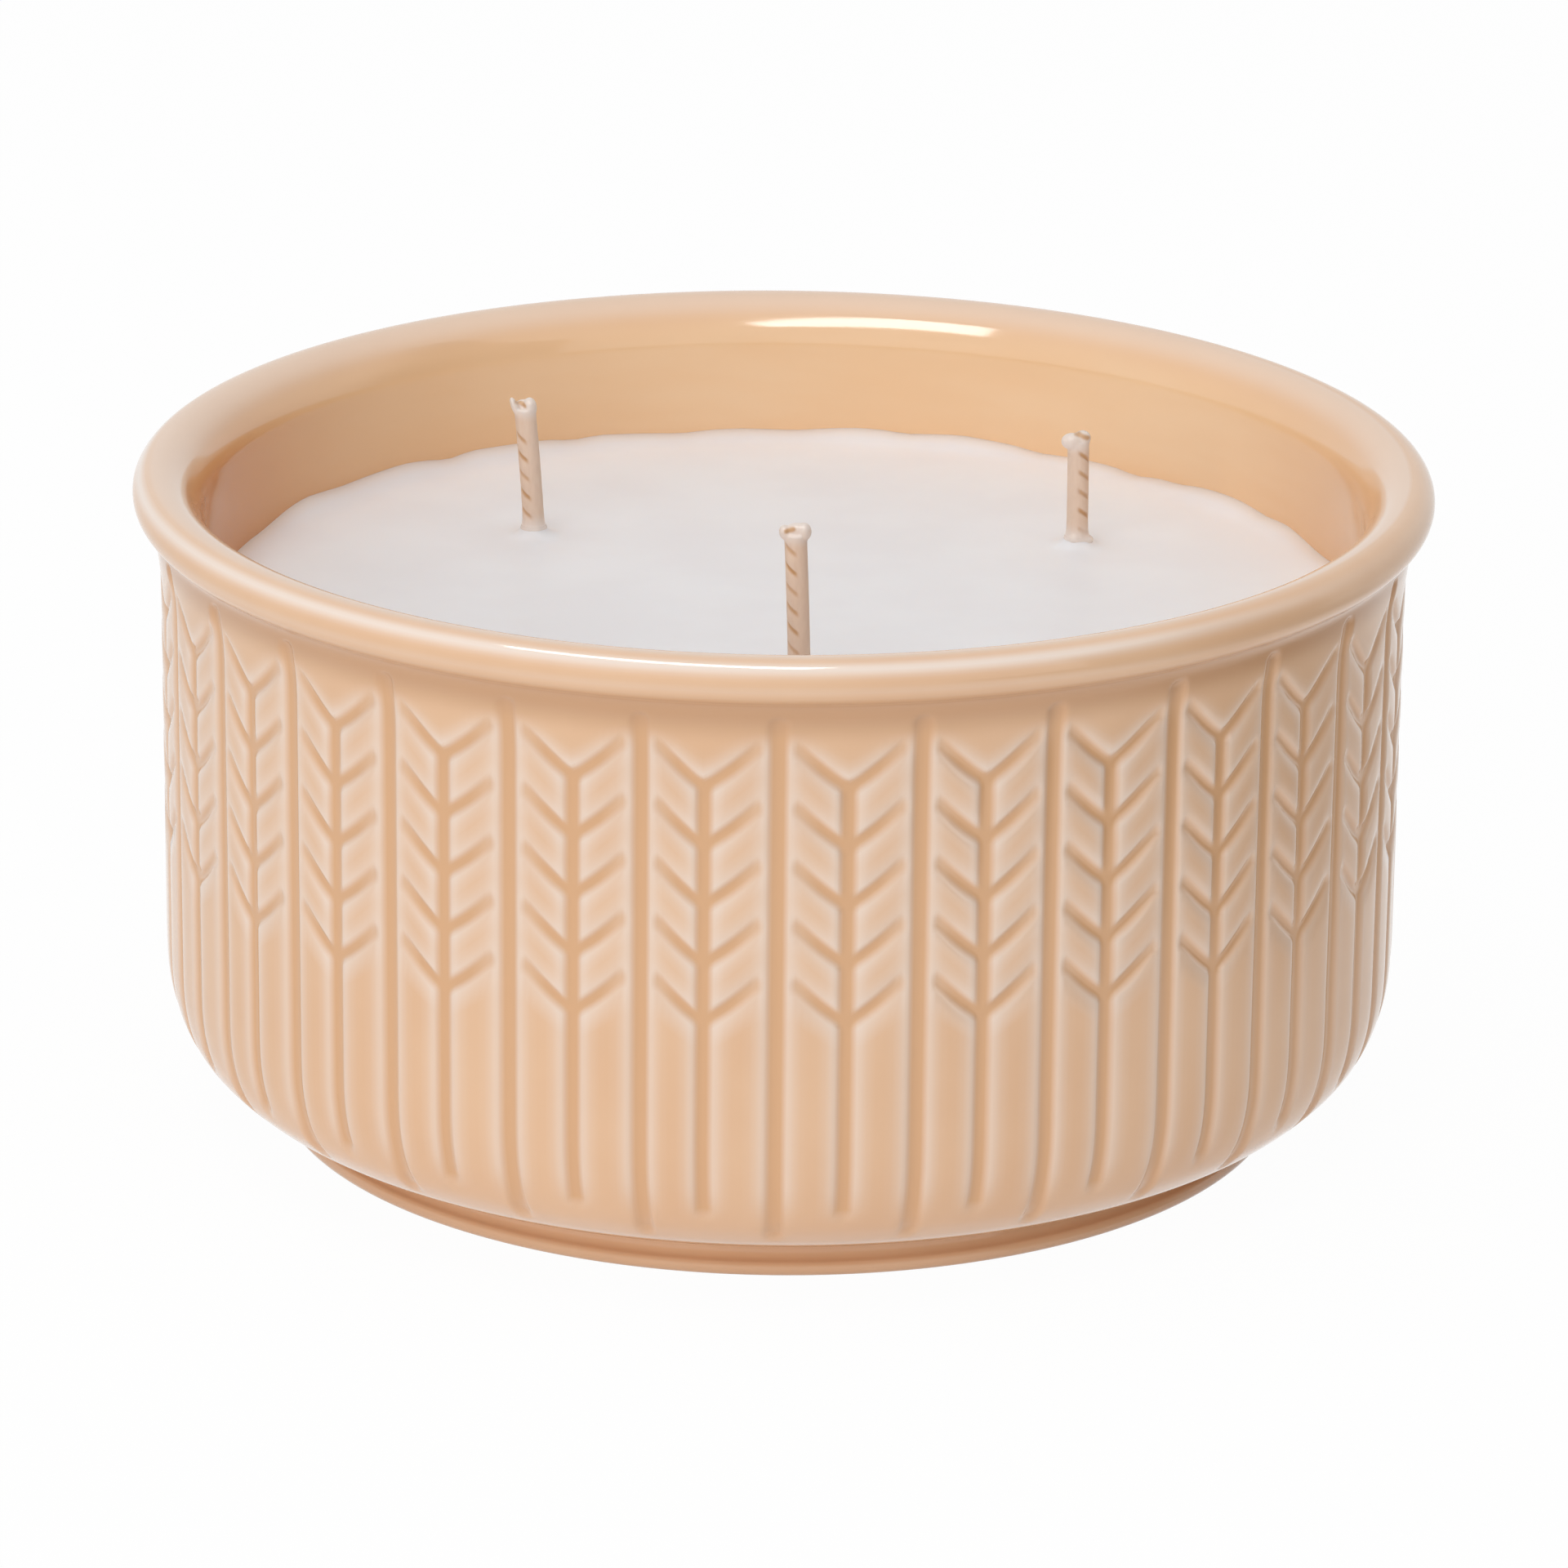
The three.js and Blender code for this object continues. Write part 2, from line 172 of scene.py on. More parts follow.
def smooth(low, high, value):
    """0 below low, 1 above high, and smooth between."""
    share = np.clip((value - low) / (high - low), 0, 1)
    return share * share * (3 - 2 * share)


def crest(value, centre, width):
    """1 at the centre, and fading to both sides of it."""
    return np.exp(-((value - centre) / width) ** 2)


# Shapes


def begin():
    if bpy.context.mode != "OBJECT":
        bpy.ops.object.mode_set(mode="OBJECT")
    bpy.ops.object.select_all(action="DESELECT")


def only(piece):
    begin()
    piece.select_set(True)
    bpy.context.view_layer.objects.active = piece


def edit(piece, part="ALL"):
    only(piece)
    bpy.ops.object.mode_set(mode="EDIT")
    bpy.ops.mesh.select_mode(type="VERT")
    bpy.ops.mesh.select_all(action="SELECT" if part == "ALL" else "DESELECT")


def named(name):
    piece = bpy.context.object
    piece.name = name
    piece.data.name = name
    bpy.ops.object.transform_apply(location=True, rotation=True, scale=True)
    return piece


def places(piece):
    """The points of a piece, in millimetres."""
    flat = np.empty(len(piece.data.vertices) * 3)
    piece.data.vertices.foreach_get("co", flat)
    return flat.reshape(-1, 3) / MM


def put(piece, points):
    piece.data.vertices.foreach_set("co", (np.asarray(points) * MM).ravel())
    piece.data.update()


def pick_rim(piece, low, high):
    """Selects the open edges of a piece between two heights."""
    edit(piece, "NONE")
    bpy.ops.mesh.select_mode(type="EDGE")
    bpy.ops.mesh.select_non_manifold(extend=False)
    bpy.ops.object.mode_set(mode="OBJECT")
    heights = places(piece)[:, 2]
    for edge in piece.data.edges:
        inside = all(low <= heights[corner] <= high for corner in edge.vertices)
        edge.select = edge.select and inside
    chosen = {corner for edge in piece.data.edges if edge.select for corner in edge.vertices}
    for vertex in piece.data.vertices:
        vertex.select = vertex.index in chosen
    bpy.ops.object.mode_set(mode="EDIT")


def turned(name, outline, steps):
    """A shape turned about the middle from an outline of radius and height."""
    begin()
    bpy.ops.mesh.primitive_circle_add(vertices=len(outline), radius=WALL_RADIUS * MM)
    piece = named(name)
    put(piece, [(radius, 0, height) for radius, height in outline])
    edit(piece, "NONE")
    bpy.ops.object.mode_set(mode="OBJECT")
    for edge in piece.data.edges:
        edge.select = set(edge.vertices) == {0, len(outline) - 1}
    bpy.ops.object.mode_set(mode="EDIT")
    bpy.ops.mesh.select_mode(type="EDGE")
    bpy.ops.mesh.delete(type="EDGE")
    bpy.ops.mesh.select_all(action="SELECT")
    bpy.ops.mesh.spin(steps=steps, angle=TURN, center=(0, 0, 0), axis=(0, 0, 1))
    bpy.ops.mesh.select_all(action="SELECT")
    bpy.ops.mesh.remove_doubles(threshold=MERGE * MM)
    bpy.ops.mesh.normals_make_consistent(inside=False)
    bpy.ops.object.mode_set(mode="OBJECT")
    return piece


def sheet(name, columns, rows):
    """A flat grid of columns and rows of points, row by row from the lowest."""
    begin()
    bpy.ops.mesh.primitive_grid_add(x_subdivisions=columns - 1, y_subdivisions=rows - 1,
                                    size=PANEL_WIDTH * MM)
    return named(name)


def joined(pieces, name):
    only(pieces[0])
    for piece in pieces:
        piece.select_set(True)
    bpy.ops.object.join()
    pieces[0].name = name
    return pieces[0]


def face_out(piece):
    edit(piece)
    bpy.ops.mesh.normals_make_consistent(inside=False)
    bpy.ops.object.mode_set(mode="OBJECT")


def shade(piece, degrees=50):
    only(piece)
    bpy.ops.object.shade_smooth_by_angle(angle=math.radians(degrees))


def attribute(piece, name, values):
    layer = piece.data.attributes.new(name, "FLOAT", "POINT")
    layer.data.foreach_set("value", np.asarray(values, dtype=np.float32))


def quarter(start, end, fullness, degrees):
    """Points of a full quarter curve that leaves start level and meets end upright."""
    points = []
    for degree in degrees:
        angle = math.radians(degree)
        across = math.sin(angle) ** fullness[0]
        up = 1 - max(math.cos(angle), 0) ** fullness[1]
        points.append((start[0] + (end[0] - start[0]) * across, start[1] + (end[1] - start[1]) * up))
    return points


# The bowl's outside: its radius at a height, and the way along and out of the surface there

CURVE = np.array(quarter(CURVE_FOOT, CURVE_HEAD, CURVE_FULLNESS, np.linspace(0, 90, 721)))
WALL = np.array([(WALL_RADIUS + NECK_FLARE * max(1 - (NECK_TOP - z) / NECK_HEIGHT, 0) ** 2, z)
                 for z in np.linspace(CURVE_HEAD[1], NECK_TOP, 400)])
OUTSIDE = np.vstack([CURVE[:-1], WALL])
ALONG = np.concatenate([[0], np.cumsum(np.hypot(*np.diff(OUTSIDE, axis=0).T))])


def radius_at(height):
    return np.interp(height, OUTSIDE[:, 1], OUTSIDE[:, 0])


def along_at(height):
    return np.interp(height, OUTSIDE[:, 1], ALONG)


def outward_at(height):
    """The outward direction across the surface, as its level and upright parts."""
    position = along_at(height)
    step = 0.08
    ends = [np.clip(position + side * step, 0, ALONG[-1]) for side in (-1, 1)]
    low, high = [np.stack([np.interp(end, ALONG, OUTSIDE[:, part]) for part in (0, 1)]) for end in ends]
    way = high - low
    length = np.hypot(*way)
    return way[1] / length, -way[0] / length


def rise(across):
    """How much higher a barb is at a distance from its stem."""
    near = np.minimum(across, BARB_REACH + 0.2)
    return BARB_SLOPE * near + BARB_BEND * near * near


def relief(angle, height):
    """How sunk the surface is, from 0 on the lands to 1 in the grooves, and how pale the glaze lies beside
    them: where it thins over their edges, and partly a painted sheen.
    """
    radius = radius_at(height)
    place = along_at(height)
    share = np.mod((angle - FIRST_LINE) / (TURN / PANELS), 1)
    from_line = np.minimum(share, 1 - share) * radius * TURN / PANELS
    from_stem = np.abs(share - 0.5) * radius * TURN / PANELS

    def upright(across, ends, half):
        """How far a point is from an upright stroke with round ends."""
        low, high = along_at(ends[0]) + half, along_at(ends[1]) - half
        past = np.maximum(np.maximum(low - place, place - high), 0)
        return np.hypot(across, past) - half

    strokes = [
        (upright(from_line, LINE_ENDS, LINE_HALF), 1),
        (upright(from_stem, (STEM_ENDS[0], STEM_ENDS[1] + STEM_HALF), STEM_HALF), 1),
    ]
    near = np.minimum(from_stem, BARB_REACH)
    slope = BARB_SLOPE + 2 * BARB_BEND * near
    barb_strength = 1 - BARB_FADE * smooth(BARB_FADE_FROM, BARB_REACH + 0.3, from_stem)
    past_tip = np.maximum(from_stem - BARB_REACH, 0)
    for foot in BARB_FEET:
        beside = np.abs(height - foot - rise(near)) / np.hypot(1, slope)
        strokes.append((np.hypot(beside, past_tip) - BARB_HALF, barb_strength))
    halo = HALO * smooth(*HALO_LOW, height) * (1 - smooth(*HALO_HIGH, height))
    level, covered = 1, 1
    for away, strength in strokes:
        level = level * (1 - strength * (1 - smooth(*GROOVE_EDGE, away)))
        covered = covered * (1 - halo * strength * crest(np.maximum(away, 0), 0, HALO_REACH))
    return 1 - level, 1 - covered


def panel_columns():
    """Where the columns of points stand across a panel, closer at its lines and its stem."""
    middle = PANEL_WIDTH / 2
    half = [0, 0.5, 0.85, 1.15, 1.5, 1.9] + [middle - q for q in (4.5, 3.7, 2.9, 2.1, 1.5, 1.1, 0.75, 0.4, 0)]
    return np.array(half + [PANEL_WIDTH - s for s in reversed(half[:-1])])


def panel_rows():
    """The heights of the rows of points, closer at the barbs."""
    low = [z for _, z in quarter(CURVE_FOOT, CURVE_HEAD, CURVE_FULLNESS, np.arange(40, 90, 3.5))]
    wall = [20.6, 22.8, 25, 27.2, 29.3]
    steps = (-1.3, -0.95, -0.65, -0.35, 0, 0.35, 0.65, 0.95, 1.3, 2.3, 3.15, 4.0)
    ears = [foot + step for foot in BARB_FEET for step in steps]
    top = list(np.linspace(62.4, BAND[1], 7))
    return np.array([BAND[0]] + low[1:] + wall + ears + top)


def relief_band():
    """The outside of the bowl with the panels' points lying along the lines, stems and barbs."""
    columns, rows = panel_columns(), panel_rows()
    panel = sheet("panel", len(columns), len(rows))
    across, key = [grid.ravel() for grid in np.meshgrid(columns, rows)]
    lean = np.interp(key, (20.6, 31.4, 59.2, BAND[1]), (0, 1, 1, 0))
    height = key + lean * rise(np.abs(across - PANEL_WIDTH / 2))
    angle = FIRST_LINE + across / WALL_RADIUS
    radius = radius_at(height)
    put(panel, np.column_stack([radius * np.cos(angle), radius * np.sin(angle), height]))
    edit(panel)
    bpy.ops.mesh.spin(steps=PANELS - 1, dupli=True, angle=TURN * (PANELS - 1) / PANELS,
                      center=(0, 0, 0), axis=(0, 0, 1))
    bpy.ops.mesh.select_all(action="SELECT")
    bpy.ops.mesh.remove_doubles(threshold=MERGE * MM)
    bpy.ops.object.mode_set(mode="OBJECT")
    return panel


def lip_point(degrees):
    angle = math.radians(degrees)
    return LIP_CENTRE[0] + LIP_RADIUS * math.cos(angle), LIP_CENTRE[1] + LIP_RADIUS * math.sin(angle)


def throat_points():
    """The way from the top of the lip to the inner wall."""
    points = [(LIP_CENTRE[0], BOWL_HEIGHT)]
    for bend, (first, last), steps in THROAT:
        start, corner = points[-1], math.radians(first)
        for share in np.linspace(0, 1, steps + 1)[1:]:
            angle = math.radians(first + (last - first) * share)
            points.append((start[0] - bend * (math.cos(angle) - math.cos(corner)),
                           start[1] - bend * (math.sin(corner) - math.sin(angle))))
    return points


def upper_outline():
    """From the neck over the lip and down the inside to the middle of the floor."""
    bead = [lip_point(degrees) for degrees in range(-38, 90, 8)]
    wall = [(INNER_RADIUS, height) for height in INNER_ROWS]
    foot = (INNER_RADIUS - INNER_CURVE[0], FLOOR_HEIGHT)
    head = (INNER_RADIUS, FLOOR_HEIGHT + INNER_CURVE[1])
    curve = quarter(foot, head, CURVE_FULLNESS, range(90, -1, -9))
    return [*NECK, *bead, *throat_points(), *wall, *curve, (FLOOR_LOOP, FLOOR_HEIGHT), (0, FLOOR_HEIGHT)]


def lower_outline():
    """From the low curve of the wall over the cove and the foot ring to the middle of the recess."""
    under = quarter(CURVE_FOOT, CURVE_HEAD, CURVE_FULLNESS, (38, 36, 33, 30, 26, 22, 18, 14, 10, 7))
    edge = FOOT_RADIUS - FOOT_EDGE
    ring = []
    for degrees in range(90, -91, -18):
        angle = math.radians(degrees)
        ring.append((edge + FOOT_EDGE * math.cos(angle), FOOT_EDGE + FOOT_EDGE * math.sin(angle)))
    inner = [(RING_INNER + out, height) for out, height in RECESS_EDGE]
    return [*under, *COVE, *ring, *inner, (RECESS_LOOP, RECESS_DEPTH), (0, RECESS_DEPTH)]


def lip_thin_glaze_and_sheen(lip_angle, angle):
    """How pale the glaze lies round the section of the lip, where it thins and where a sheen is painted, less
    at the right of the bowl, where shade is painted.
    """
    thin_glaze_and_sheen = crest(lip_angle, *LIP_FRONT_ARC) * LIP_FRONT_THIN_AND_SHEEN + LIP_TOP_THIN_AND_SHEEN * smooth(*LIP_TOP_ARC, lip_angle)
    thin_glaze_and_sheen += LIP_SIDE_THIN_AND_SHEEN * crest(lip_angle, *LIP_SIDE_ARC)
    return thin_glaze_and_sheen * (1 - RIGHT_LIP_LOSS * smooth(0.35, 0.95, np.cos(angle)))


def bowl():
    band = relief_band()
    lip, base = turned("upper", upper_outline(), AROUND), turned("lower", lower_outline(), AROUND)
    piece = joined([band, lip, base], "bowl_glazed")
    for low, high in SEAMS:
        pick_rim(piece, low, high)
        bpy.ops.mesh.bridge_edge_loops()
        bpy.ops.object.mode_set(mode="OBJECT")
    face_out(piece)

    # The relief: each point moves out or in across the surface, and along it to its listed place
    points = places(piece)
    radius = np.hypot(points[:, 0], points[:, 1])
    height = points[:, 2]
    angle = np.arctan2(points[:, 1], points[:, 0])
    outside = np.abs(radius - radius_at(height)) < 0.03
    outside &= (height > BAND[0] - 0.01) & (height < BAND[1] + 0.01)
    sunk, thin_glaze_and_sheen = relief(angle, height)
    low_fade = [along_at(BAND[0]) + length for length in FADE_LOW]
    ends = smooth(*low_fade, along_at(height)) * (1 - smooth(*FADE_HIGH, height))
    shift = np.where(outside, LAND_RISE * (1 - thin_glaze_and_sheen) * ends - GROOVE_DEPTH * sunk, 0)
    hand_set = np.interp(np.degrees(angle) + 90, (-90, *HAND_ANGLES, 90), (EVEN_SET, *HAND_SET, EVEN_SET))
    turn = np.radians(np.where(outside, hand_set, EVEN_SET))
    out, up = outward_at(height)
    level = radius + shift * out
    points[:, 0] = level * np.cos(angle + turn)
    points[:, 1] = level * np.sin(angle + turn)
    height += shift * up
    put(piece, points)

    # The glaze: where it thins and pales, with a painted sheen on the lip and throat and painted shade at the
    # right; where it pools, partly painted shade; and how far inside the bowl a point is, with painted shade
    # on the left inside
    lip_angle = np.degrees(np.arctan2(height - LIP_CENTRE[1], radius - LIP_CENTRE[0]))
    on_lip = (height > NECK_TOP) & (radius > LIP_CENTRE[0] - 0.1)
    in_throat = (radius < LIP_CENTRE[0]) & (radius > INNER_RADIUS - 0.1)
    thin_glaze_and_sheen = np.where(outside, thin_glaze_and_sheen * ends + (1 - ends) * PANEL_END_THIN * (height > 40), 0)
    # Painted shade: the pale edges fade towards the right of the bowl
    thin_glaze_and_sheen *= 1 - RIGHT_WALL_LOSS * smooth(0.45, 0.95, np.cos(angle))
    # Painted reflection: the top of the throat is pale
    thin_glaze_and_sheen = np.maximum(thin_glaze_and_sheen, in_throat * THROAT_THIN_AND_SHEEN * smooth(69.4, 71.6, height))
    thin_glaze_and_sheen = np.where(on_lip, lip_thin_glaze_and_sheen(lip_angle, angle), thin_glaze_and_sheen)
    # Painted shade with pooling glaze: darker under the lip's bead, down the neck and in the cove
    lip_pool_and_shade = LIP_POOL_AND_SHADE - LIP_POOL_AND_SHADE * smooth(*LIP_POOL_AND_SHADE_ARC, lip_angle)
    under_lip = np.where(on_lip, lip_pool_and_shade, smooth(*NECK_POOL_AND_SHADE, height))
    under_lip = np.where((radius > LIP_CENTRE[0] - 1.2) & (height < LIP_CENTRE[1]), under_lip, 0)
    in_cove = (radius < 55.3) & (radius > 52.7) & (height > 1.5)
    cove = in_cove * (1 - smooth(2.2, 3.0, height))
    hollow = (radius < LIP_CENTRE[0] - 0.2) & (radius < radius_at(height) - 1)
    hollow &= height > FLOOR_HEIGHT - 0.1
    inside = hollow * (1 - smooth(66.5, 72, height) * 0.9)
    attribute(piece, "sunk", np.where(outside, sunk, 0))
    attribute(piece, "thin_glaze_and_sheen", np.clip(thin_glaze_and_sheen, 0, 1))
    attribute(piece, "pooled_and_shaded", np.clip(under_lip + cove * COVE_POOL_AND_SHADE, 0, 1))
    attribute(piece, "inside", inside)
    # Painted shade: darker inside on the left, where the lip shades the wall
    attribute(piece, "deep", inside * smooth(0.15, 0.95, -np.cos(angle)))
    attribute(piece, "bare", height < 0.05)
    shade(piece)
    return piece


# Where the wax meets the wall: angle in degrees, and height
WAX_EDGE = ((-180, 55.8), (-150, 56.2), (-30, 56.2), (14, 56.1), (17, 55.8), (20, 55.9), (23, 56.3),
            (26, 56.7), (30, 56.5), (35, 57.0), (38, 57.0), (41, 56.85), (44, 56.4), (47, 56.4), (50, 56.0),
            (53, 56.5), (57, 56.6), (62, 56.4), (65, 56.9), (71, 57.3), (74, 57.1), (77, 56.85), (80, 57.2),
            (83, 57.2), (89, 56.7), (95, 56.9), (98, 56.8), (101, 56.5), (104, 56.7), (110, 57.0),
            (113, 56.7), (116, 57.1), (125, 57.2), (128, 56.7), (131, 57.2), (134, 57.4), (140, 57.1),
            (143, 56.95), (149, 57.3), (152, 57.0), (155, 56.45), (158, 56.0), (161, 55.9), (167, 55.6),
            (180, 55.8))

# Each swelling of a head or foot: its centre from the wick's middle and its tip (or the wax), sizes and turn.
# The core is a line across the head, from one point to another, each across and up from the tip
WICKS = {
    "left": dict(
        x=-27.78, y=23.98, height=15.6, offset=1.1, seam=-135, first_slit=4.3,
        head=(((0.62, 0, -1.0), (0.75, 0.95, 1.05), 0), ((-0.98, -0.2, -1.15), (0.45, 0.7, 1.35), 20),
              ((-0.1, 0.3, -1.0), (0.9, 0.6, 0.75), 0)),
        foot=(), core=((-0.8, -0.3), (0.0, -0.75))),
    "right": dict(
        x=32.63, y=22.09, height=13.0, offset=0.1, seam=-48, first_slit=2.75,
        head=(((-0.7, -0.35, -1.1), (1.25, 0.95, 0.95), 0), ((0.4, 0, -0.85), (1.0, 0.95, 0.9), 20)),
        foot=(((0.8, -0.2, 0.5), (0.75, 0.8, 0.6), 0), ((-0.3, -0.95, 0.95), (0.5, 0.45, 0.5), 0)),
        core=((-0.3, -0.1), (1.0, -0.6))),
    "front": dict(
        x=1.82, y=-26.04, height=17.0, offset=0.6, seam=-128, first_slit=2.65,
        head=(((-1.15, 0, -1.0), (0.6, 0.8, 0.8), 0), ((0.95, 0, -0.9), (0.75, 0.95, 0.95), 0),
              ((0.05, 0.1, -0.75), (1.15, 0.8, 0.72), 8)),
        foot=(), core=((-0.95, -0.72), (-0.2, -0.5))),
}


def wax_outline():
    """From the middle of the wax's underside round to the middle of its top."""
    low = FLOOR_HEIGHT + WAX_GAP
    foot = (INNER_RADIUS - INNER_CURVE[0] + WAX_GAP, low)
    head = (WAX_RADIUS, FLOOR_HEIGHT + INNER_CURVE[1])
    side = quarter(foot, head, CURVE_FULLNESS, range(0, 91, 9))
    rings = (WAX_RADIUS, 62.3, 61.9, 61.3, 60.6, 59.8, 58.9, *np.arange(57.8, 1, -1.15), 0)
    return [(0, low), *side, (WAX_RADIUS, 45), *[(radius, WAX_HEIGHT) for radius in rings]]


def wax():
    piece = turned("wax_poured", wax_outline(), AROUND)
    for place in WICKS.values():
        points = places(piece)
        near = np.hypot(points[:, 0] - place["x"], points[:, 1] - place["y"]) < FINE_ROUND_WICK
        near &= points[:, 2] > WAX_HEIGHT - 0.01
        edit(piece, "NONE")
        bpy.ops.object.mode_set(mode="OBJECT")
        for index in np.flatnonzero(near):
            piece.data.vertices[index].select = True
        bpy.ops.object.mode_set(mode="EDIT")
        bpy.ops.mesh.select_mode(type="FACE")
        bpy.ops.mesh.subdivide(number_cuts=3)
        bpy.ops.object.mode_set(mode="OBJECT")
    points = places(piece)
    radius = np.hypot(points[:, 0], points[:, 1])
    top = points[:, 2] > WAX_HEIGHT - 0.01
    degrees = np.degrees(np.arctan2(points[:, 1], points[:, 0]))
    edge = np.interp(degrees, *zip(*WAX_EDGE)) - WAX_HEIGHT
    lift = edge * smooth(WALL_RISE_FROM, WAX_RADIUS, radius) ** 1.3
    for place in WICKS.values():
        away = np.hypot(points[:, 0] - place["x"], points[:, 1] - place["y"])
        out = np.clip(away - WICK_RADIUS, 0, None)
        lift += MENISCUS_HEIGHT * np.exp(-out / MENISCUS_REACH) - DISH_DEPTH * crest(out, 0, DISH_REACH)
    points[:, 2] += np.where(top, lift, 0)
    put(piece, points)
    # The edge's warm tint, partly painted light
    attribute(piece, "rim", smooth(*RIM_TINT, radius))
    face_out(piece)
    shade(piece, 60)
    return piece


def swelling(centre, sizes, turn):
    begin()
    bpy.ops.mesh.primitive_uv_sphere_add(
        segments=32, ring_count=16, radius=MM, location=[part * MM for part in centre],
        rotation=(0, -math.radians(turn), 0), scale=sizes)
    return named("swelling")


def wick_blank(name, x, y, tip, head, foot):
    """A plain wick with its head and foot, in one even skin."""
    top = tip - HEAD_DROP
    begin()
    bpy.ops.mesh.primitive_cylinder_add(
        vertices=64, radius=WICK_RADIUS * MM, depth=(top - WICK_FOOT) * MM,
        location=(x * MM, y * MM, (top + WICK_FOOT) / 2 * MM))
    parts = [named(name)]
    for base, bulges in ((tip, head), (WAX_HEIGHT, foot)):
        for centre, sizes, turn in bulges:
            parts.append(swelling((x + centre[0], y + centre[1], base + centre[2]), sizes, turn))
    piece = joined(parts, name)
    piece.data.name = name
    skin = piece.modifiers.new("skin", "REMESH")
    skin.mode = "VOXEL"
    skin.voxel_size = SKIN_GRAIN * MM
    bpy.ops.object.modifier_apply(modifier=skin.name)
    edit(piece)
    bpy.ops.mesh.vertices_smooth(factor=0.5, repeat=4)
    bpy.ops.mesh.normals_make_consistent(inside=False)
    bpy.ops.object.mode_set(mode="OBJECT")
    return piece


def from_segment(across, up, start, end):
    """How far points are from a line between two points."""
    start, end = np.array(start), np.array(end)
    way = end - start
    share = np.clip(((across - start[0]) * way[0] + (up - start[1]) * way[1]) / np.sum(way ** 2), 0, 1)
    nearest = start[:, None] + share * way[:, None]
    return np.hypot(across - nearest[0], up - nearest[1])


def wick(name, x, y, height, offset, seam, first_slit, head, foot, core):
    tip = WAX_HEIGHT + height
    piece = wick_blank(f"wick_{name}_braid", x, y, tip, head, foot)
    points = places(piece)
    across, deep, upright = points[:, 0] - x, points[:, 1] - y, points[:, 2]
    away = np.hypot(across, deep)
    degrees = np.degrees(np.arctan2(deep, across))
    over_wax = upright - WAX_HEIGHT
    last_slit = tip - first_slit

    # Two columns of slits, one on each side, with the braid swollen between them
    shown = smooth(*BRAID_BARE, over_wax) * (1 - smooth(last_slit + 0.5, last_slit + 1.1, upright))
    slit, swell = np.zeros_like(upright), np.zeros_like(upright)
    for side_turn in (0, 180):
        column = np.mod(degrees - seam - side_turn + 180, 360) - 180
        turns = (upright - tip + first_slit) / SLIT_PITCH + column * SLIT_SLANT + 0.5
        row = np.mod(turns, 1) - 0.5
        open_by = 0.82 + 0.18 * np.sin(2.4 * np.floor(turns) + seam)
        cut = (1 - smooth(*SLIT_SIDES, np.abs(column))) * (1 - smooth(*SLIT_LIPS, np.abs(row)))
        slit = np.maximum(slit, cut * shown * open_by)
        swell += (1 - smooth(*BRAID_SIDES, np.abs(column))) * (4 * row * row - 0.4) * shown
    spread = FOOT_SPREAD * np.exp(-np.maximum(over_wax - 0.7, 0) / 0.5)
    relieved = (BRAID_SWELL * swell - SLIT_DEPTH * slit) * (away < 1.5)
    grown = (away + spread + relieved) / np.maximum(away, 0.3)
    lean = offset * np.clip(over_wax / height, 0, 1) ** 1.3
    near_core = from_segment(across, upright - tip, *core) + np.maximum(deep, 0)
    points[:, 0] = x + across * grown - lean
    points[:, 1] = y + deep * grown
    put(piece, points)

    waxed_foot = 1.2 - 1.2 * smooth(*WAXED_FOOT, over_wax)
    waxed_head = smooth(*[tip + up for up in WAXED_HEAD], upright)
    attribute(piece, "slit", slit)
    attribute(piece, "core", 1 - smooth(*CORE_EDGE, near_core))
    attribute(piece, "waxed", np.maximum(waxed_head, waxed_foot))
    shade(piece, 70)
    return piece


# Finishes


class Wire:
    """An output of a finish's nodes; sums with it add Math nodes."""

    def __init__(self, finish, socket):
        self.finish = finish
        self.socket = socket

    def math(self, operation, *values):
        return self.finish.add("ShaderNodeMath", {"operation": operation}, dict(enumerate(values)))

    def __add__(self, other):
        return self.math("ADD", self, other)

    def __radd__(self, other):
        return self.math("ADD", other, self)

    def __sub__(self, other):
        return self.math("SUBTRACT", self, other)

    def __rsub__(self, other):
        return self.math("SUBTRACT", other, self)

    def __mul__(self, other):
        return self.math("MULTIPLY", self, other)

    def __rmul__(self, other):
        return self.math("MULTIPLY", other, self)

    def between(self, low, high):
        """0 below low, 1 above high, and smooth between."""
        values = {"Value": self, "From Min": low, "From Max": high}
        return self.finish.add("ShaderNodeMapRange", {"interpolation_type": "SMOOTHSTEP"}, values)


